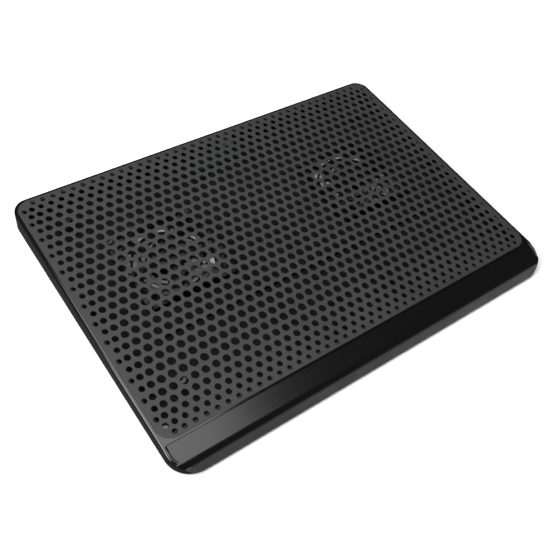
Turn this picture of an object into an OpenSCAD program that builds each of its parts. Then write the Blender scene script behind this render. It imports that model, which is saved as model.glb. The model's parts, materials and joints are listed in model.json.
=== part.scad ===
// Laptop cooling pad: a sloped perforated steel deck over two slim fans in a shallow plastic case.
// X runs along the front edge, Y to the back and Z up. The origin is on the table at the pad's centre.

/* [Overall size] */
// Width of the pad, left to right
pad_w = 376; // [360:1:400]
// Depth of the pad, front to back
pad_d = 270; // [268:1:276]
// Height of the deck above the table, at the pad's centre
deck_h = 18.7; // [18.5:0.1:21]
// Fall of the deck towards the user, in degrees
deck_tilt = 1.24; // [0.8:0.02:1.4]
// Radius of the case's rear corners, seen from above
corner_r = 13; // [12:0.5:15]
// Radius of the case's front corners, seen from above
front_corner_r = 20; // [17:0.5:21]
// Height of the line where the two case halves meet
part_z = 8.5; // [8.3:0.1:8.7]

/* [Case] */
// Thickness of the side walls
wall_t = 2.4; // [2.2:0.1:2.8]
// Thickness of the floor
floor_t = 2; // [1.8:0.1:2.4]
// Gap under the floor, taken up by the rubber feet
foot_gap = 2.8; // [2.4:0.1:3]
// Width of the ledge that carries the mesh
ledge_w = 4.5; // [4:0.25:5]
// Thickness of that ledge
ledge_t = 1.5; // [1.2:0.1:1.8]

/* [Front lip] */
// Distance from the pad's front edge back to the crease
lip_reach = 23.8; // [23.5:0.1:24]
// Fall of the lip's upper face, in degrees
lip_fall = 15; // [14:0.5:16]
// Fall of the nose below the lip, in degrees
nose_fall = 52; // [50:0.5:53]
// Length of the lip's flat upper face
lip_flat = 14.9; // [14:0.1:15]
// Radius of the roll from the lip to the nose
nose_r = 10; // [9.5:0.1:10.5]
// Thickness of the lip cover
lip_t = 1.6; // [1.2:0.1:1.8]

/* [Mesh] */
// Thickness of the perforated sheet
mesh_t = 0.8; // [0.6:0.1:1]
// Diameter of the holes over most of the sheet
hole_d = 6.8; // [5:0.1:7]
// Diameter of the holes nearest the edge
edge_hole_d = 4.2; // [3:0.1:4.4]
// Pitch of the holes along a row
pitch_x = 9; // [9:0.05:9.1]
// Pitch of the rows
pitch_y = 9.1; // [9:0.05:9.2]

/* [Fans] */
// Side of the square fan housing
fan_w = 80; // [78:0.5:82]
// Thickness of the fan housing
fan_h = 9.8; // [9.6:0.1:10]
// Distance of each fan's axis from the pad's centre line
fan_x = 97.5; // [90:0.5:105]
// Distance of the fans' axes behind the pad's centre
fan_y = 33.5; // [20:0.5:45]
// Number of blades on a rotor
blades = 7; // [5:1:9]

/* [Electronics] */
// Centre of the circuit board, left to right
board_x = 2; // [-10:1:10]
// Width of the circuit board
board_w = 46; // [44:1:50]
// Travel of the power switch
switch_travel = 3; // [2:0.5:3]

/* [Hidden] */

$fn = 64;
eps = 0.01;
tall = 60;

// Colours
gloss_black = [0.07, 0.07, 0.075];
shell_grey = [0.16, 0.16, 0.165];
mesh_grey = [0.3, 0.3, 0.305];
foam_black = [0.05, 0.05, 0.05];
fan_black = [0.1, 0.1, 0.105];
steel = [0.72, 0.72, 0.74];
bronze = [0.72, 0.5, 0.28];
copper = [0.78, 0.4, 0.18];
board_green = [0.08, 0.3, 0.16];

// Heights and levels
floor_z = foot_gap + floor_t;
mesh_drop = 0.3;
gasket_t = 0.5;
ledge_drop = mesh_drop + mesh_t + gasket_t;
ceiling_drop = ledge_drop + ledge_t;
half_w = pad_w / 2;
half_d = pad_d / 2;

// Front lip
crease_y = -half_d + lip_reach;
seam = 0.4;
lip_gap = 0.1;
lip_side = 3;
lip_corner_r = 14;
lip_front_y = crease_y - 20.4;
lip_start = [crease_y - lip_flat * cos(lip_fall), -lip_flat * sin(lip_fall)];
nose_centre = lip_start + nose_r * [sin(lip_fall), -cos(lip_fall)];
nose_len = 12;
nose_steps = 8;

// Mesh sheet: outline and hole pattern
mesh_side = 2.5;
mesh_back = 2.25;
mesh_front_bar = 1.7;
mesh_w = pad_w - 2 * mesh_side;
mesh_front_y = crease_y + mesh_front_bar;
mesh_back_y = half_d - mesh_back;
mesh_d = mesh_back_y - mesh_front_y;
mesh_y = (mesh_front_y + mesh_back_y) / 2;
mesh_r = 12;
mesh_gap = 0.25;
rows = 28;
side_holes = 20;
// The outer holes crowd together: positions past a limit close up with the square of the distance
squeeze_x = [162, 0.0075];
squeeze_y = [84, 0.0041];
hole_margin = 3.9;

// Fan
fan_z = floor_z + 1.8;
fan_top = fan_z + fan_h;
fan_hole = 35.75;
fan_hole_r = 2.15;
fan_lug_h = 4;
fan_bore_r = 38;
spider_t = 1.4;
hub_r = 15;
hub_top = fan_top - 0.6;
hub_cap_t = 1.2;
shaft_boss_h = 1.2;
hub_bottom = fan_z + 3;
hub_plate_r = 13.2;
tube_r = 3.4;
bush_r = 2.6;
bush_gap = 0.03;
shaft_r = 1;
stator_r = 11.9;
magnet_r = 13.9;
magnet_t = 1.5;
blade_tip_r = 37.2;
blade_t = 1.1;
blade_curve_r = 15;
blade_pitch = 28;
blade_chord = 10.4;
blade_steps = 5;
motor_board_t = 0.4;
bush_z = fan_z + spider_t + 0.2;
bush_h = 4.8;

// Screws and posts
case_screw_at = [[178, 122], [178, 12], [178, -97]];
case_boss_r = 3.6;
screw_r = 1.05;
screw_hole_r = 1.3;
screw_bite_r = 1.06;
screw_head_r = 2.6;
screw_head_h = 1.6;
case_head_z = 4.4;
post_at = [[-152, 97], [152, 97], [-150, -72], [150, -72], [-5, -69]];
post_r = 4;
post_bore_r = 1.5;

// Circuit board and rear sockets
board_d = 25;
board_t = 1.6;
board_z = 6.8;
board_top = board_z + board_t;
board_back = half_d - wall_t - 0.4;
board_y = board_back - board_d / 2;
board_screw_dx = 19.5;
board_screw_y = board_back - 19;
port_x = board_x + 13;
port_w = 14.4;
port_h = 7;
port_d = 15.5;
inlet_x = board_x - 3;
inlet_w = 8;
inlet_h = 3.9;
inlet_d = 9;
socket_face = half_d - 0.5;
cut_gap = 0.2;
switch_x = board_x - 15.5;
switch_case_w = 9;
switch_case_d = 4.2;
switch_case_h = 4.2;
knob_w = 3;
knob_h = 2.2;
knob_z = board_top + 2.1;
switch_slot_w = knob_w + switch_travel + 1;
switch_recess = 1.5;

// Feet and grille
foot_r = 9;
foot_at = [158, 108];
foot_seat = 0.6;
grille_r = 37.5;
grille_hub_r = 13.5;
grille_rib = 1.8;
grille_pitch = 6;
grille_spoke = 2.4;

function squeeze(s, rule) = sign(s) * (abs(s) - rule[1] * pow(max(0, abs(s) - rule[0]), 2));
function fade(s, from, to, power) = pow(max(0, min(1, (abs(s) - from) / (to - from))), power);

// ---------------------------------------------------------------- shared shapes

module rounded_rect(x0, x1, y0, y1, r) {
    translate([x0 + r, y0]) square([x1 - x0 - 2 * r, y1 - y0]);
    translate([x0, y0 + r]) square([x1 - x0, y1 - y0 - 2 * r]);
    for (x = [x0 + r, x1 - r], y = [y0 + r, y1 - r]) translate([x, y]) circle(r);
}

// The case's outline, drawn in by the given distance
module outline(inset = 0) {
    w = half_w - inset;
    d = half_d - inset;
    rear_x = half_w - corner_r;
    front_x = half_w - front_corner_r;
    rear_y = half_d - corner_r;
    front_y = half_d - front_corner_r;
    translate([-rear_x, 0]) square([2 * rear_x, d]);
    translate([-front_x, -d]) square([2 * front_x, d + 1]);
    translate([-w, -front_y]) square([2 * w, front_y + rear_y]);
    for (side = [-1, 1]) {
        translate([side * rear_x, rear_y]) circle(corner_r - inset);
        translate([side * front_x, -front_y]) circle(front_corner_r - inset);
    }
}

// The mesh's outline, grown by the given distance
module mesh_outline(grow = 0) {
    rounded_rect(-mesh_w / 2 - grow, mesh_w / 2 + grow, mesh_front_y - grow, mesh_back_y + grow, mesh_r + grow);
}

// Places a shape in the deck's own frame, where Z = 0 is the deck's upper surface
module deck() {
    translate([0, 0, deck_h]) rotate([deck_tilt, 0, 0]) children();
}

// Everything below the deck, the lip and the nose, seen from the side and drawn in by the given distance
module side_profile(inset = 0) {
    nose = [
        for (i = [0 : nose_steps]) let (a = lip_fall + (nose_fall - lip_fall) * i / nose_steps)
            nose_centre + (nose_r - inset) * [-sin(a), cos(a)]
    ];
    nose_end = nose[nose_steps] - nose_len * [cos(nose_fall), sin(nose_fall)];
    polygon(concat(
        [[half_d + 20, -inset], [crease_y + inset * tan(lip_fall / 2), -inset]],
        nose,
        [nose_end, [nose_end[0], -tall], [half_d + 20, -tall]]
    ));
}

// Runs a side view across the whole width
module across(w = pad_w + 20) {
    translate([-w / 2, 0, 0]) rotate([90, 0, 90]) linear_extrude(w) children();
}

module ring(outer, inner, h) {
    difference() {
        cylinder(r = outer, h = h);
        translate([0, 0, -eps]) cylinder(r = inner, h = h + 2 * eps);
    }
}

module at_fan(side) {
    translate([side * fan_x, fan_y, 0]) children();
}

module at_fan_holes() {
    for (x = [-1, 1], y = [-1, 1]) translate([x * fan_hole, y * fan_hole, 0]) children();
}

module at_case_screws() {
    for (p = case_screw_at, side = [-1, 1]) translate([side * p[0], p[1], 0]) children();
}

// A pan-head screw with its head's upper side at Z = 0 and a cross recess in it
module pan_screw(len, head_r = screw_head_r, head_h = screw_head_h) {
    difference() {
        union() {
            translate([0, 0, -head_h]) cylinder(r = head_r, h = head_h);
            translate([0, 0, -head_h - len]) cylinder(r = screw_r, h = len + eps);
        }
        for (a = [0, 90]) rotate([0, 0, a]) translate([-head_r * 0.55, -0.3, -head_h * 0.55])
            cube([head_r * 1.1, 0.6, head_h]);
    }
}

// ---------------------------------------------------------------- deck

module mesh_holes() {
    for (row = [0 : rows - 1]) {
        nominal_y = (rows / 2 - 0.5 - row) * pitch_y;
        y = squeeze(nominal_y, squeeze_y);
        shift = row % 2 == 0 ? 0 : 0.5;
        for (i = [-side_holes - 2 * shift : side_holes]) {
            nominal_x = (i + shift) * pitch_x;
            x = squeeze(nominal_x, squeeze_x);
            shrink = max(fade(nominal_x, 157.5, 184.5, 1.5), fade(nominal_y, 78, 122.85, 1));
            d = hole_d - (hole_d - edge_hole_d) * shrink;
            corner = [abs(x) - (mesh_w / 2 - mesh_r), abs(y) - (mesh_d / 2 - mesh_r)];
            inside = min(corner) < 0 || norm(corner) < mesh_r - hole_margin;
            if (inside) translate([x, mesh_y + y]) circle(d = d, $fn = 32);
        }
    }
}

module top_mesh() {
    color(mesh_grey) deck() translate([0, 0, -mesh_drop - mesh_t]) linear_extrude(mesh_t) difference() {
        mesh_outline();
        mesh_holes();
    }
}

module mesh_gasket() {
    color(foam_black) deck() translate([0, 0, -ledge_drop]) linear_extrude(gasket_t) difference() {
        mesh_outline(-0.3);
        mesh_outline(-ledge_w + 0.3);
    }
}

// ---------------------------------------------------------------- case

module lip_pocket_outline(inset = 0) {
    rounded_rect(-half_w + lip_side + inset, half_w - lip_side - inset,
        lip_front_y, crease_y + 40, lip_corner_r - inset);
}

// The block that the lip cover fills, seen from above, ending at the crease
module lip_block(inset) {
    translate([0, 0, -tall]) linear_extrude(2 * tall) difference() {
        lip_pocket_outline(inset);
        translate([-pad_w, crease_y - inset]) square([2 * pad_w, 2 * tall]);
    }
}

module rear_opening(x, w, z0, z1, d = wall_t + 2) {
    translate([x - w / 2, half_d - d, z0]) cube([w, d + 1, z1 - z0]);
}

module socket_openings() {
    rear_opening(port_x, port_w + 2 * cut_gap, board_top - cut_gap, board_top + port_h + cut_gap);
    rear_opening(inlet_x, inlet_w + 2 * cut_gap, board_top - cut_gap, board_top + inlet_h + cut_gap);
    rear_opening(switch_x, switch_slot_w, board_top - cut_gap, knob_z + knob_h / 2 + 0.4);
    translate([switch_x - switch_slot_w / 2 - 1.5, half_d - switch_recess, board_top - cut_gap])
        cube([switch_slot_w + 3, switch_recess + 1, knob_h + 2.6]);
}

module top_frame() {
    color(gloss_black) difference() {
        union() {
            difference() {
                intersection() {
                    translate([0, 0, part_z]) linear_extrude(tall) outline();
                    deck() across() side_profile();
                }
                intersection() {
                    translate([0, 0, part_z - 1]) linear_extrude(tall) outline(wall_t);
                    deck() across(pad_w + 30) side_profile(ceiling_drop);
                }
                deck() translate([0, 0, -ledge_drop]) linear_extrude(tall) mesh_outline(mesh_gap);
                deck() translate([0, 0, -tall]) linear_extrude(2 * tall) mesh_outline(-ledge_w);
                deck() difference() {
                    lip_block(0);
                    across(pad_w + 40) side_profile(lip_t + lip_gap);
                }
            }
            // Bosses for the case screws hang from the ledge
            intersection() {
                at_case_screws() translate([0, 0, part_z]) cylinder(r = case_boss_r, h = tall);
                deck() across() side_profile(ledge_drop + ledge_t / 2);
            }
        }
        // Rebate over the bottom shell's raised edge
        translate([0, 0, part_z - 1]) linear_extrude(2.7) difference() {
            outline(wall_t - 1.05);
            outline(wall_t + 0.8);
            translate([-pad_w, crease_y - pad_d]) square([2 * pad_w, pad_d]);
        }
        at_case_screws() translate([0, 0, part_z - 1]) cylinder(r = screw_bite_r, h = 6.5);
        socket_openings();
    }
}

module front_lip() {
    color(gloss_black) difference() {
        deck() difference() {
            intersection() {
                lip_block(seam);
                across() side_profile();
            }
            across(pad_w + 30) side_profile(lip_t);
        }
        translate([-pad_w, -pad_d, -tall]) cube([2 * pad_w, pad_d, tall + part_z + seam]);
    }
}

module grille_opening() {
    difference() {
        circle(grille_r);
        circle(grille_hub_r);
        for (r = [grille_hub_r + grille_pitch : grille_pitch : grille_r - grille_rib]) difference() {
            circle(r);
            circle(r - grille_rib);
        }
        for (a = [0 : 60 : 300]) rotate([0, 0, a]) translate([0, -grille_spoke / 2]) square([grille_r, grille_spoke]);
    }
}

module bottom_shell() {
    color(shell_grey) difference() {
        union() {
            // Tray
            difference() {
                intersection() {
                    translate([0, 0, foot_gap]) linear_extrude(part_z - foot_gap) outline();
                    deck() across() side_profile();
                }
                intersection() {
                    translate([0, 0, floor_z]) linear_extrude(tall) outline(wall_t);
                    deck() across() side_profile(wall_t);
                }
            }
            // Raised edge that locates the top frame
            difference() {
                translate([0, 0, floor_z - eps]) linear_extrude(part_z + 1.5 - floor_z) difference() {
                    outline(wall_t - 0.9);
                    outline(wall_t + 0.3);
                }
                translate([-pad_w, crease_y + 1 - pad_d, 0]) cube([2 * pad_w, pad_d, tall]);
                rear_opening(board_x, board_w + 2, part_z - 3, part_z + 3);
            }
            // Bosses and posts on the floor
            at_case_screws() translate([0, 0, floor_z - eps]) cylinder(r = case_boss_r, h = part_z - seam - floor_z);
            intersection() {
                for (p = post_at) translate([p[0], p[1], floor_z - eps]) cylinder(r = post_r, h = tall);
                deck() across() side_profile(mesh_drop + mesh_t + 0.3);
            }
            for (side = [-1, 1]) at_fan(side) at_fan_holes()
                translate([0, 0, floor_z - eps]) cylinder(r = case_boss_r, h = fan_z - floor_z + eps);
            for (side = [-1, 1]) translate([board_x + side * board_screw_dx, board_screw_y, floor_z - eps])
                cylinder(r = 2.6, h = board_z - floor_z + eps);
            for (side = [-1, 1]) translate([board_x + side * 20, board_back - 3, floor_z - eps])
                cylinder(r = 1.6, h = board_z - floor_z + eps);
            // Stiffening ribs
            for (side = [-1, 1]) translate([side * 173.4 - 0.8, -98, floor_z - eps]) cube([1.6, 72, 4.5]);
            for (side = [-1, 1]) translate([side * 50 - 0.8, -112, floor_z - eps]) cube([1.6, 100, 3]);
            translate([-140, -30, floor_z - eps]) cube([280, 1.6, 3]);
            // Pads above the foot seats
            for (x = [-1, 1], y = [-1, 1]) translate([x * foot_at[0], y * foot_at[1], floor_z - eps])
                cylinder(r = foot_r + 1.5, h = 0.6);
        }
        for (side = [-1, 1]) at_fan(side) translate([0, 0, foot_gap - 1]) linear_extrude(floor_t + 2) grille_opening();
        at_case_screws() {
            translate([0, 0, foot_gap - 1]) cylinder(r = screw_head_r + 0.4, h = case_head_z - foot_gap + 1);
            translate([0, 0, foot_gap]) cylinder(r = screw_hole_r, h = tall);
        }
        for (p = post_at) translate([p[0], p[1], floor_z + 1]) cylinder(r = post_bore_r, h = tall);
        for (side = [-1, 1]) at_fan(side) at_fan_holes()
            translate([0, 0, foot_gap + 0.8]) cylinder(r = screw_bite_r, h = tall);
        for (side = [-1, 1]) translate([board_x + side * board_screw_dx, board_screw_y, foot_gap + 0.8])
            cylinder(r = screw_bite_r, h = tall);
        for (x = [-1, 1], y = [-1, 1]) translate([x * foot_at[0], y * foot_at[1], foot_gap - 1])
            cylinder(r = foot_r + 0.2, h = 1 + foot_seat);
        socket_openings();
    }
}

module rubber_feet() {
    color(foam_black) for (x = [-1, 1], y = [-1, 1]) translate([x * foot_at[0], y * foot_at[1], 0])
        rotate_extrude() polygon([
            [0, 0], [foot_r - 1, 0], [foot_r - 0.3, 0.3], [foot_r, 1],
            [foot_r, foot_gap + foot_seat], [0, foot_gap + foot_seat]
        ]);
}

module case_screws() {
    color(steel) at_case_screws() translate([0, 0, case_head_z - screw_head_h]) mirror([0, 0, 1])
        pan_screw(len = 7.2);
}

// ---------------------------------------------------------------- fans

module fan_housing(side) {
    color(fan_black) at_fan(side) difference() {
        union() {
            difference() {
                translate([0, 0, fan_z]) linear_extrude(fan_h) intersection() {
                    rounded_rect(-fan_w / 2, fan_w / 2, -fan_w / 2, fan_w / 2, 4);
                    circle(44);
                }
                translate([0, 0, fan_z - 1]) cylinder(r = fan_bore_r, h = fan_h + 2);
            }
            translate([0, 0, fan_z]) linear_extrude(fan_lug_h) difference() {
                rounded_rect(-fan_w / 2, fan_w / 2, -fan_w / 2, fan_w / 2, 4);
                circle(fan_bore_r);
            }
            // Spider that carries the motor
            translate([0, 0, fan_z]) cylinder(r = hub_plate_r, h = spider_t);
            for (a = [0 : 90 : 270]) rotate([0, 0, a]) translate([hub_plate_r - 1, -1.6, fan_z])
                cube([fan_bore_r - hub_plate_r + 1.5, 3.2, spider_t]);
            translate([0, 0, fan_z]) cylinder(r = tube_r, h = bush_z + bush_h - fan_z);
        }
        at_fan_holes() translate([0, 0, fan_z - 1]) cylinder(r = fan_hole_r, h = fan_h);
        translate([0, 0, bush_z]) cylinder(r = bush_r, h = fan_h);
        // Slot where the leads leave
        translate([-1.2, fan_bore_r - 2, fan_z + spider_t]) cube([2.4, 8, 2]);
    }
}

// Side view of a blade: a thin strip of a circle, pitched about the fan's radius
module blade_profile() {
    half_arc = asin(blade_chord / 2 / blade_curve_r);
    function arc(r, from, to) = [
        for (i = [0 : blade_steps]) let (a = from + (to - from) * i / blade_steps)
            r * [sin(a), cos(a)] - [0, blade_curve_r - 0.6]
    ];
    translate([0, (hub_bottom + hub_top) / 2]) rotate(blade_pitch) polygon(concat(
        arc(blade_curve_r + blade_t / 2, -half_arc, half_arc),
        arc(blade_curve_r - blade_t / 2, half_arc, -half_arc)
    ));
}

module fan_rotor(side) {
    color(fan_black) at_fan(side) {
        difference() {
            translate([0, 0, hub_bottom]) cylinder(r = hub_r, h = hub_top - hub_bottom);
            translate([0, 0, hub_bottom - 1]) cylinder(r = magnet_r, h = hub_top - hub_cap_t - hub_bottom + 1);
        }
        difference() {
            translate([0, 0, hub_top - hub_cap_t - shaft_boss_h]) cylinder(r = bush_r + 0.4, h = shaft_boss_h + hub_cap_t / 2);
            translate([0, 0, hub_top - hub_cap_t - 2]) cylinder(r = shaft_r, h = 2);
        }
        for (i = [0 : blades - 1]) rotate([0, 0, i * 360 / blades + side * 9]) intersection() {
            rotate([90, 0, 90]) linear_extrude(blade_tip_r + 5) blade_profile();
            translate([0, 0, hub_bottom - 2]) ring(blade_tip_r, hub_r - 0.4, fan_h);
        }
    }
}

module rotor_magnet(side) {
    color([0.2, 0.18, 0.17]) at_fan(side) translate([0, 0, hub_bottom + 0.2])
        ring(magnet_r, magnet_r - magnet_t, 4);
}

module fan_shaft(side) {
    color(steel) at_fan(side) translate([0, 0, bush_z + 0.3])
        cylinder(r = shaft_r, h = hub_top - hub_cap_t - bush_z - 0.3);
}

module fan_bearing(side) {
    color(bronze) at_fan(side) translate([0, 0, bush_z]) ring(bush_r, shaft_r + bush_gap, bush_h);
}

module stator_core(side) {
    color(steel) at_fan(side) translate([0, 0, fan_z + spider_t + 1.6]) linear_extrude(2.6) difference() {
        union() {
            circle(tube_r + 1.6);
            for (a = [0 : 90 : 270]) rotate([0, 0, a]) translate([0, -1.1]) square([stator_r - 1, 2.2]);
            intersection() {
                difference() {
                    circle(stator_r);
                    circle(stator_r - 1.3);
                }
                for (a = [0, 90]) rotate([0, 0, a]) square([2 * stator_r, 12], center = true);
            }
        }
        circle(tube_r + 0.02);
    }
}

module motor_coils(side) {
    color(copper) at_fan(side) for (a = [0 : 90 : 270]) rotate([0, 0, a])
        translate([tube_r + 1.9, 0, fan_z + spider_t + 1.6]) difference() {
            translate([0, -2.4, -0.6]) cube([4.6, 4.8, 3.8]);
            translate([-1, -1.15, -0.05]) cube([8, 2.3, 2.7]);
        }
}

module motor_board(side) {
    color(board_green) at_fan(side) translate([0, 0, fan_z + spider_t])
        ring(11, tube_r + 0.1, motor_board_t);
}

// A pair of thin leads taped together, swept with eight sides along a chain of points
module lead(points, r) {
    sides = 8;
    last = len(points) - 1;
    rings = [
        for (i = [0 : last])
            let (along = points[min(i + 1, last)] - points[max(i - 1, 0)])
            let (t = along / norm(along), flat = cross(t, [0, 0, 1]), u = flat / norm(flat), v = cross(u, t))
                for (k = [0 : sides - 1]) points[i] + r * (u * cos(k * 360 / sides) + v * sin(k * 360 / sides))
    ];
    walls = [
        for (i = [0 : last - 1], k = [0 : sides - 1]) let (n = (k + 1) % sides)
            [i * sides + k, i * sides + n, (i + 1) * sides + n, (i + 1) * sides + k]
    ];
    ends = [[for (k = [sides - 1 : -1 : 0]) k], [for (k = [0 : sides - 1]) last * sides + k]];
    polyhedron(rings, concat(walls, ends));
}

module fan_leads(side) {
    r = 0.6;
    lying = r + 0.02;
    strut_z = fan_z + spider_t + lying;
    end = [board_x + side * 14, board_y - 7.62, board_top + 1.2];
    color([0.35, 0.06, 0.05]) lead([
        [side * fan_x, fan_y + 11.05, strut_z], [side * fan_x, fan_y + 42, strut_z],
        [side * (fan_x - 8), fan_y + 50, floor_z + lying], [side * 46, 92, floor_z + lying],
        [side * 32, 100, floor_z + lying + 1], [end[0] + side * 2, end[1] - 7.5, end[2]], end
    ], r);
}

module fan_screws() {
    color(steel) for (side = [-1, 1]) at_fan(side) at_fan_holes()
        translate([0, 0, fan_z + fan_lug_h + screw_head_h]) pan_screw(len = 6.4, head_r = 2.9);
}

// ---------------------------------------------------------------- electronics

module circuit_board() {
    color(board_green) difference() {
        translate([board_x - board_w / 2, board_y - board_d / 2, board_z]) cube([board_w, board_d, board_t]);
        for (side = [-1, 1]) translate([board_x + side * board_screw_dx, board_screw_y, board_z - 1])
            cylinder(r = screw_hole_r, h = board_t + 2);
    }
}

module board_parts() {
    color([0.12, 0.12, 0.12]) {
        for (side = [-1, 1]) translate([board_x + side * 14 - 2.5, board_y - 7.6, board_top]) cube([5, 4, 3]);
        translate([board_x - 3, board_y - 5, board_top]) cube([5, 5, 1.4]);
        translate([board_x + 4, board_y - 7.5, board_top]) cylinder(r = 2, h = 5);
    }
}

module board_screws() {
    color(steel) for (side = [-1, 1])
        translate([board_x + side * board_screw_dx, board_screw_y, board_top + screw_head_h])
            pan_screw(len = 4.4);
}

// A socket's sheet-metal shell, open at the rear
module socket_shell(x, w, h, d) {
    translate([x - w / 2, socket_face - d, board_top]) difference() {
        cube([w, d, h]);
        translate([0.4, 1.2, 0.4]) cube([w - 0.8, d, h - 0.8]);
    }
}

module usb_port_shell() {
    color(steel) socket_shell(port_x, port_w, port_h, port_d);
}

module usb_port_tongue() {
    color([0.9, 0.9, 0.88]) translate([port_x - 5.5, socket_face - port_d + 1.2, board_top + port_h - 3]) {
        cube([11, port_d - 2.2, 1.8]);
        translate([-1.2, 0, -3]) cube([13.4, 2, 5]);
    }
}

module usb_inlet_shell() {
    color(steel) socket_shell(inlet_x, inlet_w, inlet_h, inlet_d);
}

module usb_inlet_tongue() {
    color([0.1, 0.1, 0.1]) translate([inlet_x - 2.6, socket_face - inlet_d + 1.2, board_top + 1.6])
        cube([5.2, inlet_d - 2.2, 0.9]);
}

module switch_case() {
    color(steel) translate([switch_x - switch_case_w / 2, half_d - wall_t - 0.3 - switch_case_d, board_top])
        difference() {
            cube([switch_case_w, switch_case_d, switch_case_h]);
            translate([(switch_case_w - switch_slot_w) / 2, 1, knob_z - board_top - knob_h / 2 - 0.3])
                cube([switch_slot_w, switch_case_d, knob_h + 0.6]);
        }
}

module switch_slider() {
    color(fan_black) translate([switch_x - switch_travel / 2 - knob_w / 2,
        half_d - wall_t - 0.3 - switch_case_d + 1.3, knob_z - knob_h / 2])
        cube([knob_w, switch_case_d - 1.3 + wall_t + 0.1, knob_h]);
}

top_mesh();
mesh_gasket();
top_frame();
front_lip();
bottom_shell();
fan_housing(-1);  // left_fan_housing
fan_housing(1);  // right_fan_housing
fan_rotor(-1);  // left_fan_rotor
fan_rotor(1);  // right_fan_rotor
rotor_magnet(-1);  // left_rotor_magnet
rotor_magnet(1);  // right_rotor_magnet
fan_shaft(-1);  // left_fan_shaft
fan_shaft(1);  // right_fan_shaft
fan_bearing(-1);  // left_fan_bearing
fan_bearing(1);  // right_fan_bearing
stator_core(-1);  // left_stator_core
stator_core(1);  // right_stator_core
motor_coils(-1);  // left_motor_coils
motor_coils(1);  // right_motor_coils
motor_board(-1);  // left_motor_board
motor_board(1);  // right_motor_board
fan_leads(-1);  // left_fan_leads
fan_leads(1);  // right_fan_leads
fan_screws();
circuit_board();
board_parts();
board_screws();
usb_port_shell();
usb_port_tongue();
usb_inlet_shell();
usb_inlet_tongue();
switch_case();
switch_slider();
case_screws();
rubber_feet();
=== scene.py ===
"""Looks for the laptop cooling pad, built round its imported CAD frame. Lengths are in metres."""

import json
import math

import bmesh
import bpy
import numpy as np
from mathutils import Matrix, Vector
from mathutils.geometry import delaunay_2d_cdt

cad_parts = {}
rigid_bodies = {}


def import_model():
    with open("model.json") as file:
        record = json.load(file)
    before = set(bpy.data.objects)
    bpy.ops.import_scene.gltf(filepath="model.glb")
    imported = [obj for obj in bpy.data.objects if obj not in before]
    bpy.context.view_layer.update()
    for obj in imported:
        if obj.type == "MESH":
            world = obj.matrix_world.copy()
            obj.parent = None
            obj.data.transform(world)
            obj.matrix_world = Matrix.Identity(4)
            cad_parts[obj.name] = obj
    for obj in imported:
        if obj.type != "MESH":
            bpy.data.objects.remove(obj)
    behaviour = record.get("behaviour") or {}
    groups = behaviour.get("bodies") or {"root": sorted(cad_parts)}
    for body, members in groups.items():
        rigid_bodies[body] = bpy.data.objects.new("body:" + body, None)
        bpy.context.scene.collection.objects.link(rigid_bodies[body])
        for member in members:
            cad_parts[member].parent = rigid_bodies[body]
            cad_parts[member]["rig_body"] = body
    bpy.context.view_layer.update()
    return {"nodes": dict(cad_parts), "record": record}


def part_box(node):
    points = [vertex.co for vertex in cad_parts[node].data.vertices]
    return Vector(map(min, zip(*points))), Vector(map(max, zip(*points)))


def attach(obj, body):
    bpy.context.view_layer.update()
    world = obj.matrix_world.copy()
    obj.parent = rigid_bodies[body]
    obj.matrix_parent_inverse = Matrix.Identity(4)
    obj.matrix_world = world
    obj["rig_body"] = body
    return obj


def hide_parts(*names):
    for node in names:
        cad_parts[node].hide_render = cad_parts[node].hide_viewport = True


MM = 0.001

# Rounding of the moulded covers' free edges, and of their edges along a joint
FRAME_RIM = 1.9 * MM
LIP_RIM = 0.5 * MM
SHELL_RIM = 0.5 * MM
CASE_SEAM = 0.2 * MM
LIP_SEAM = 0.4 * MM
# Rounding of the sheet's holes and outline, and straight sides used for one hole
SHEET_RIM = 0.15 * MM
HOLE_SIDES = 20

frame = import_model()
slot_of = {part["node"]: part["material_slot"] for part in frame["record"]["subparts"]}


# ---------------------------------------------------------------- materials

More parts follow.
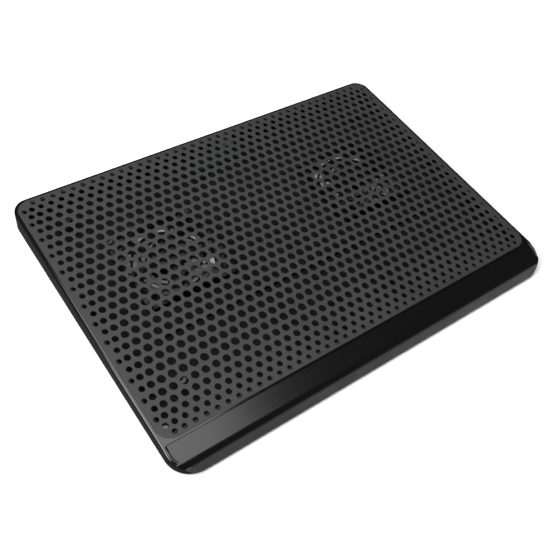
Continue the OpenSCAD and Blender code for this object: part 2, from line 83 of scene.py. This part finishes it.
class Surface:
    """A Principled material with helpers for its texture nodes. Object coordinates are in metres."""

    def __init__(self, name, color, roughness, metallic=0.0, specular=0.5):
        self.material = bpy.data.materials.new(name)
        self.material.use_nodes = True
        self.nodes = self.material.node_tree.nodes
        self.links = self.material.node_tree.links
        self.shader = self.nodes["Principled BSDF"]
        self.color = color
        self.roughness = roughness
        self.shader.inputs["Base Color"].default_value = (*color, 1)
        self.shader.inputs["Roughness"].default_value = roughness
        self.shader.inputs["Metallic"].default_value = metallic
        self.shader.inputs["Specular IOR Level"].default_value = specular
        self.coords = self.nodes.new("ShaderNodeTexCoord")
        self.normal = None

    def noise(self, size, detail=3.0, stretch=(1, 1, 1)):
        """Noise whose grains are about `size` metres across, drawn out along an axis by `stretch`."""
        mapping = self.nodes.new("ShaderNodeMapping")
        mapping.inputs["Scale"].default_value = [1 / (size * s) for s in stretch]
        texture = self.nodes.new("ShaderNodeTexNoise")
        texture.inputs["Scale"].default_value = 1
        texture.inputs["Detail"].default_value = detail
        self.links.new(self.coords.outputs["Object"], mapping.inputs["Vector"])
        self.links.new(mapping.outputs["Vector"], texture.inputs["Vector"])
        return texture.outputs["Fac"]

    def spread(self, value, low, high):
        """Stretches the middle part of a noise, from 0.3 to 0.7, over the range from low to high."""
        remap = self.nodes.new("ShaderNodeMapRange")
        remap.inputs["From Min"].default_value = 0.3
        remap.inputs["From Max"].default_value = 0.7
        remap.inputs["To Min"].default_value = low
        remap.inputs["To Max"].default_value = high
        self.links.new(value, remap.inputs["Value"])
        return remap.outputs["Result"]

    def vary_roughness(self, value, amount):
        """Raises and lowers the roughness by up to `amount`."""
        low, high = self.roughness - amount, self.roughness + amount
        self.links.new(self.spread(value, low, high), self.shader.inputs["Roughness"])
        return self

    def vary_color(self, value, amount):
        """Lightens and darkens the base colour by up to `amount` of itself."""
        ramp = self.nodes.new("ShaderNodeValToRGB")
        ramp.color_ramp.elements[0].position = 0.3
        ramp.color_ramp.elements[1].position = 0.7
        ramp.color_ramp.elements[0].color = (*[c * (1 - amount) for c in self.color], 1)
        ramp.color_ramp.elements[1].color = (*[c * (1 + amount) for c in self.color], 1)
        self.links.new(value, ramp.inputs["Fac"])
        self.links.new(ramp.outputs["Color"], self.shader.inputs["Base Color"])
        return self

    def bump(self, value, height, strength):
        """Adds relief of about `height` metres on top of any relief the surface has."""
        node = self.nodes.new("ShaderNodeBump")
        node.inputs["Strength"].default_value = strength
        node.inputs["Distance"].default_value = height
        self.links.new(value, node.inputs["Height"])
        if self.normal is not None:
            self.links.new(self.normal, node.inputs["Normal"])
        self.normal = node.outputs["Normal"]
        self.links.new(self.normal, self.shader.inputs["Normal"])
        return self


def powder_coat(name):
    """Fine matte powder coat: a tight orange peel and slight cloudiness."""
    s = Surface(name, (0.026, 0.026, 0.0265), 0.52, specular=0.35)
    grain = s.noise(0.35 * MM, 2)
    cloud = s.noise(28 * MM, 3)
    s.vary_color(cloud, 0.08).vary_roughness(cloud, 0.05)
    s.bump(grain, 0.02 * MM, 0.35)
    return s.material


def gloss_plastic(name, roughness):
    """High-gloss moulded plastic, with hairline wiping marks in its roughness."""
    s = Surface(name, (0.002, 0.002, 0.0021), roughness, specular=0.5)
    marks = s.noise(0.6 * MM, 3, stretch=(40, 1, 1))
    s.vary_roughness(marks, 0.02)
    s.vary_color(s.noise(35 * MM, 2), 0.1)
    return s.material


def satin_plastic(name, color, roughness, grain_size=0.25 * MM):
    """Moulded plastic with a spark-eroded texture."""
    s = Surface(name, color, roughness, specular=0.4)
    grain = s.noise(grain_size, 2)
    cloud = s.noise(20 * MM, 2)
    s.vary_color(cloud, 0.12).vary_roughness(cloud, 0.05)
    s.bump(grain, 0.03 * MM, 0.4)
    return s.material


def brushed_metal(name, color, roughness):
    """Bare or blackened metal with fine brushing lines."""
    s = Surface(name, color, roughness, metallic=1.0)
    lines = s.noise(0.12 * MM, 3, stretch=(30, 1, 30))
    s.vary_roughness(lines, 0.08)
    s.vary_color(s.noise(4 * MM, 2), 0.08)
    s.bump(lines, 0.004 * MM, 0.3)
    return s.material


def soft_rubber(name, color=(0.012, 0.012, 0.012), pore=0.5 * MM):
    """Rubber, foam or a pressed magnet: matte, with pores about `pore` across."""
    s = Surface(name, color, 0.75, specular=0.3)
    grain = s.noise(pore, 3)
    s.vary_color(grain, 0.25).vary_roughness(grain, 0.08)
    s.bump(grain, 0.06 * MM, 0.5)
    return s.material


def solder_mask(name):
    """A circuit board's dark green mask over faint tracks."""
    s = Surface(name, (0.004, 0.012, 0.008), 0.4, specular=0.4)
    tracks = s.noise(1.2 * MM, 1, stretch=(4, 1, 1))
    s.vary_color(tracks, 0.3).vary_roughness(tracks, 0.05)
    s.bump(tracks, 0.02 * MM, 0.4)
    return s.material


def by_slot():
    """One material for each material slot that the CAD's record names."""
    return {
        "mesh_metal": powder_coat("powder_coat"),
        "foam": soft_rubber("foam", (0.008, 0.008, 0.008), 0.8 * MM),
        "gloss_black": gloss_plastic("gloss_black", 0.12),
        "gloss_lip": gloss_plastic("gloss_lip", 0.2),
        "shell_plastic": satin_plastic("shell_plastic", (0.005, 0.005, 0.0052), 0.22),
        "fan_plastic": satin_plastic("fan_plastic", (0.006, 0.006, 0.0063), 0.35),
        "rotor_plastic": satin_plastic("rotor_plastic", (0.009, 0.009, 0.0095), 0.3, 0.4 * MM),
        "magnet": soft_rubber("magnet", (0.05, 0.045, 0.04), 0.2 * MM),
        "steel": brushed_metal("steel", (0.1, 0.1, 0.105), 0.38),
        "bronze": brushed_metal("bronze", (0.5, 0.32, 0.15), 0.4),
        "copper": brushed_metal("copper", (0.62, 0.25, 0.1), 0.35),
        "board": solder_mask("board"),
        "lead_jacket": satin_plastic("lead_jacket", (0.008, 0.008, 0.008), 0.5),
        "chip_plastic": satin_plastic("chip_plastic", (0.012, 0.012, 0.012), 0.5),
        "socket_metal": brushed_metal("socket_metal", (0.62, 0.62, 0.63), 0.25),
        "socket_plastic": satin_plastic("socket_plastic", (0.7, 0.7, 0.67), 0.4),
        "rubber": soft_rubber("rubber"),
    }


materials = by_slot()
for name, node in frame["nodes"].items():
    for material_slot in node.material_slots:
        material_slot.material = materials[slot_of[name]]


# ---------------------------------------------------------------- perforated sheet

def mesh_arrays(node):
    """Corner points, triangles and face normals of a CAD node, with equal points joined."""
    mesh = frame["nodes"][node].data
    mesh.calc_loop_triangles()
    points = np.array([v.co for v in mesh.vertices])
    faces = np.array([t.vertices for t in mesh.loop_triangles])
    normals = np.array([t.normal for t in mesh.loop_triangles])
    joined, same = np.unique(np.round(points, 6), axis=0, return_inverse=True)
    return joined, same.reshape(-1)[faces], normals


def connected_groups(faces, count):
    """Number of the connected piece that each point belongs to."""
    group = np.arange(count)
    while True:
        lowest = group[faces].min(axis=1)
        new = group.copy()
        for corner in range(3):
            np.minimum.at(new, faces[:, corner], lowest)
        new = new[new]
        if (new == group).all():
            return group
        group = new


class Sheet:
    """The outline, holes and plane of the CAD's perforated sheet, measured in the sheet's own plane."""

    def __init__(self, node):
        points, faces, normals = mesh_arrays(node)
        up = normals[normals[:, 2] > 0.9].mean(axis=0)
        self.tilt = math.atan2(-up[1], up[2])
        turn = np.array(Matrix.Rotation(-self.tilt, 3, "X"))
        points = points @ turn.T
        self.top, self.bottom = points[:, 2].max(), points[:, 2].min()
        walls = faces[np.abs(normals @ up) < 0.5]
        used = np.unique(walls)
        group = connected_groups(walls, len(points))
        self.holes = []
        for key in np.unique(group[used]):
            rim = points[used[group[used] == key], :2]
            low, high = rim.min(axis=0), rim.max(axis=0)
            if (high - low).max() > 0.1:
                self.low, self.high = low, high
                ends = rim[rim[:, 1] > high[1] - 0.02 * MM]
                self.corner = high[0] - ends[:, 0].max()
            else:
                self.holes.append(((low + high) / 2, (high - low).mean() / 2))

    def outline(self, inset, steps=12):
        radius = self.corner - inset
        reach = (self.high - self.low) / 2 - self.corner
        ring = []
        for quarter, side in enumerate([(1, 1), (-1, 1), (-1, -1), (1, -1)]):
            centre = (self.low + self.high) / 2 + reach * side
            for step in range(steps + 1):
                angle = (quarter + step / steps) * math.pi / 2
                ring.append(centre + radius * np.array([math.cos(angle), math.sin(angle)]))
        return np.array(ring)


def circle_points(centre, radius, segments):
    angles = np.arange(segments) * 2 * math.pi / segments
    return centre + radius * np.column_stack([np.cos(angles), np.sin(angles)])


def perforated_sheet(sheet, rim, segments):
    """The sheet as a closed mesh whose top edges are rounded over by `rim`."""
    loops = [(sheet.outline(rim), sheet.outline(0))]
    loops += [(circle_points(c, r + rim, segments), circle_points(c, r, segments)) for c, r in sheet.holes]
    upper, wall = (np.concatenate(side) for side in zip(*loops))
    starts = np.cumsum([0] + [len(loop[0]) for loop in loops])
    rings = [list(range(a, b)) for a, b in zip(starts, starts[1:])]
    _, _, triangles, origin, _, sources = delaunay_2d_cdt([Vector(p) for p in upper], [], rings, 1, 1e-7, True)
    # Metal is where only the outline, ring 0, encloses a triangle
    solid = [[origin[i][0] for i in t] for t, inside in zip(triangles, sources) if inside == [0]]
    count = len(upper)
    levels = [(upper, sheet.top), (wall, sheet.top - rim), (wall, sheet.bottom)]
    vertices = [(x, y, z) for ring_points, z in levels for x, y in ring_points]
    shape = [list(t) for t in solid] + [[i + 2 * count for i in reversed(t)] for t in solid]
    for ring in rings:
        for i, j in zip(ring, ring[1:] + ring[:1]):
            for level in (0, count):
                shape.append([level + i, level + count + i, level + count + j, level + j])
    mesh = bpy.data.meshes.new("perforated_sheet")
    mesh.from_pydata(vertices, [], shape)
    # Back from the sheet's own plane to the deck's slope
    mesh.transform(Matrix.Rotation(sheet.tilt, 4, "X"))
    mesh.validate()
    return mesh


# ---------------------------------------------------------------- moulded covers with rounded edges

def softened(node, rim, seam, split):
    """A copy of a CAD node with its outermost edges rounded where they border a nearly level face: by `rim`
    away from the joint at height `split`, and by `seam` at it."""
    shape = bmesh.new()
    shape.from_mesh(frame["nodes"][node].data)
    smallest_facet = 0.06 * MM
    hull_margin = 0.3 * MM
    outer_skin = 2 * MM
    bmesh.ops.remove_doubles(shape, verts=shape.verts, dist=smallest_facet)
    bmesh.ops.dissolve_limit(shape, angle_limit=math.radians(0.6), verts=shape.verts, edges=shape.edges)
    points = np.array([v.co for v in shape.verts])

    def depth(face):
        """How far the piece reaches out past the face, along the face's normal."""
        return (points @ np.array(face.normal)).max() - face.calc_center_median() @ face.normal

    for radius, at_joint in ((rim, False), (seam, True)):
        shape.normal_update()
        outer = {f for f in shape.faces if depth(f) < hull_margin}
        chosen = []
        for edge in shape.edges:
            if len(edge.link_faces) != 2 or not all(f in outer for f in edge.link_faces):
                continue
            height = (edge.verts[0].co.z + edge.verts[1].co.z) / 2
            level = max(abs(f.normal.z) for f in edge.link_faces) > 0.96
            cornered = math.radians(30) < edge.calc_face_angle() < math.radians(100)
            if level and cornered and (abs(height - split) < 0.5 * MM) == at_joint:
                chosen.append(edge)
        bmesh.ops.bevel(shape, geom=chosen, offset=radius, segments=5, profile=0.5, affect="EDGES",
                        clamp_overlap=False, loop_slide=False)
    bmesh.ops.dissolve_degenerate(shape, edges=shape.edges, dist=0.001 * MM)
    # The rounding never reaches past the node's own box
    for vertex in shape.verts:
        vertex.co = np.clip(vertex.co, points.min(axis=0), points.max(axis=0))
    shape.normal_update()
    # Faces deeper than the outer skin take the second slot, which for the shell holds a darker copy painted as
    # shade
    for face in shape.faces:
        face.material_index = 0 if depth(face) < outer_skin else 1
    mesh = bpy.data.meshes.new(node + "_softened")
    shape.to_mesh(mesh)
    shape.free()
    return mesh


def add_piece(name, mesh, node, inside=None, smooth_angle=30):
    """Shows a mesh in place of a CAD node, on its body and in its material; its inner faces take `inside` when
    given, a darker copy painted as shade.
    """
    piece = bpy.data.objects.new(name, mesh)
    bpy.context.scene.collection.objects.link(piece)
    mesh.materials.append(materials[slot_of[node]])
    mesh.materials.append(inside or materials[slot_of[node]])
    mesh.shade_smooth()
    mesh.set_sharp_from_angle(angle=math.radians(smooth_angle))
    even = piece.modifiers.new("even_shading", "WEIGHTED_NORMAL")
    even.keep_sharp = True
    even.weight = 90
    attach(piece, frame["nodes"][node]["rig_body"])
    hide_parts(node)
    return piece


case_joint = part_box("top_frame")[0].z
lip_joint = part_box("front_lip")[0].z
# A darker, rougher copy of the shell's plastic for its inner faces: painted shade in the hollow under the sheet,
# seen through the holes
painted_shade_inside = satin_plastic("painted_shade_inside", (0.0015, 0.0015, 0.0016), 0.85)
add_piece("perforated_sheet", perforated_sheet(Sheet("top_mesh"), SHEET_RIM, HOLE_SIDES), "top_mesh",
          smooth_angle=60)
add_piece("frame_cover", softened("top_frame", FRAME_RIM, CASE_SEAM, case_joint), "top_frame")
add_piece("lip_cover", softened("front_lip", LIP_RIM, LIP_SEAM, lip_joint), "front_lip")
add_piece("shell_cover", softened("bottom_shell", SHELL_RIM, CASE_SEAM, case_joint), "bottom_shell", painted_shade_inside)


# ---------------------------------------------------------------- stage, light and camera

def add_floor():
    """A pale floor that glossy walls don't mirror, so they stay dark."""
    mesh = bpy.data.meshes.new("floor")
    shape = bmesh.new()
    bmesh.ops.create_grid(shape, x_segments=1, y_segments=1, size=6)
    shape.to_mesh(mesh)
    shape.free()
    floor = bpy.data.objects.new("floor", mesh)
    bpy.context.scene.collection.objects.link(floor)
    s = Surface("floor", (0.95, 0.95, 0.95), 0.9, specular=0.1)
    s.vary_color(s.noise(0.5, 2), 0.01)
    mesh.materials.append(s.material)
    floor.visible_glossy = False


def add_area_light(name, place, aim, size, power):
    """A rectangular panel at `place`, turned towards `aim`. Its power is in watts."""
    light = bpy.data.lights.new(name, "AREA")
    light.shape = "RECTANGLE"
    light.size, light.size_y = size
    light.energy = power
    lamp = bpy.data.objects.new(name, light)
    lamp.location = place
    lamp.rotation_euler = (Vector(aim) - Vector(place)).to_track_quat("-Z", "Y").to_euler()
    bpy.context.scene.collection.objects.link(lamp)


def add_world(strength):
    """An even white surround."""
    world = bpy.data.worlds.new("studio")
    world.use_nodes = True
    world.node_tree.nodes["Background"].inputs["Color"].default_value = (1, 1, 1, 1)
    world.node_tree.nodes["Background"].inputs["Strength"].default_value = strength
    bpy.context.scene.world = world


def add_camera(eye, target, roll, lens):
    """A camera whose picture is turned by `roll` degrees about its line of sight."""
    forward = (Vector(target) - Vector(eye)).normalized()
    level = forward.cross(Vector((0, 0, 1))).normalized()
    upright = level.cross(forward)
    turn = math.radians(roll)
    up = math.cos(turn) * upright + math.sin(turn) * level
    right = forward.cross(up)
    data = bpy.data.cameras.new("camera")
    data.lens = lens
    data.sensor_width = 36
    data.clip_start = 0.01
    camera = bpy.data.objects.new("camera", data)
    camera.matrix_world = Matrix.Translation(eye) @ Matrix((right, up, -forward)).transposed().to_4x4()
    bpy.context.scene.collection.objects.link(camera)
    bpy.context.scene.camera = camera


add_floor()
add_world(0.085)
add_area_light("overhead", (-1.55, 0.225, 1.8), (-1.55, 0.225, 0), (4.1, 1.95), 96)
add_area_light("front_panel", (1.25, -2.2, 0.22), (0, 0, 0.22), (3.0, 0.4), 9)
add_area_light("left_panel", (-2.4, 0.08, 0.66), (0, 0.08, 0.1), (2.1, 1.2), 84)
add_camera((-0.29804, -0.29167, 0.47692), (-0.03754, -0.0302, 0.0187), -12.229, 47.88)
bpy.context.scene.view_settings.view_transform = "Standard"
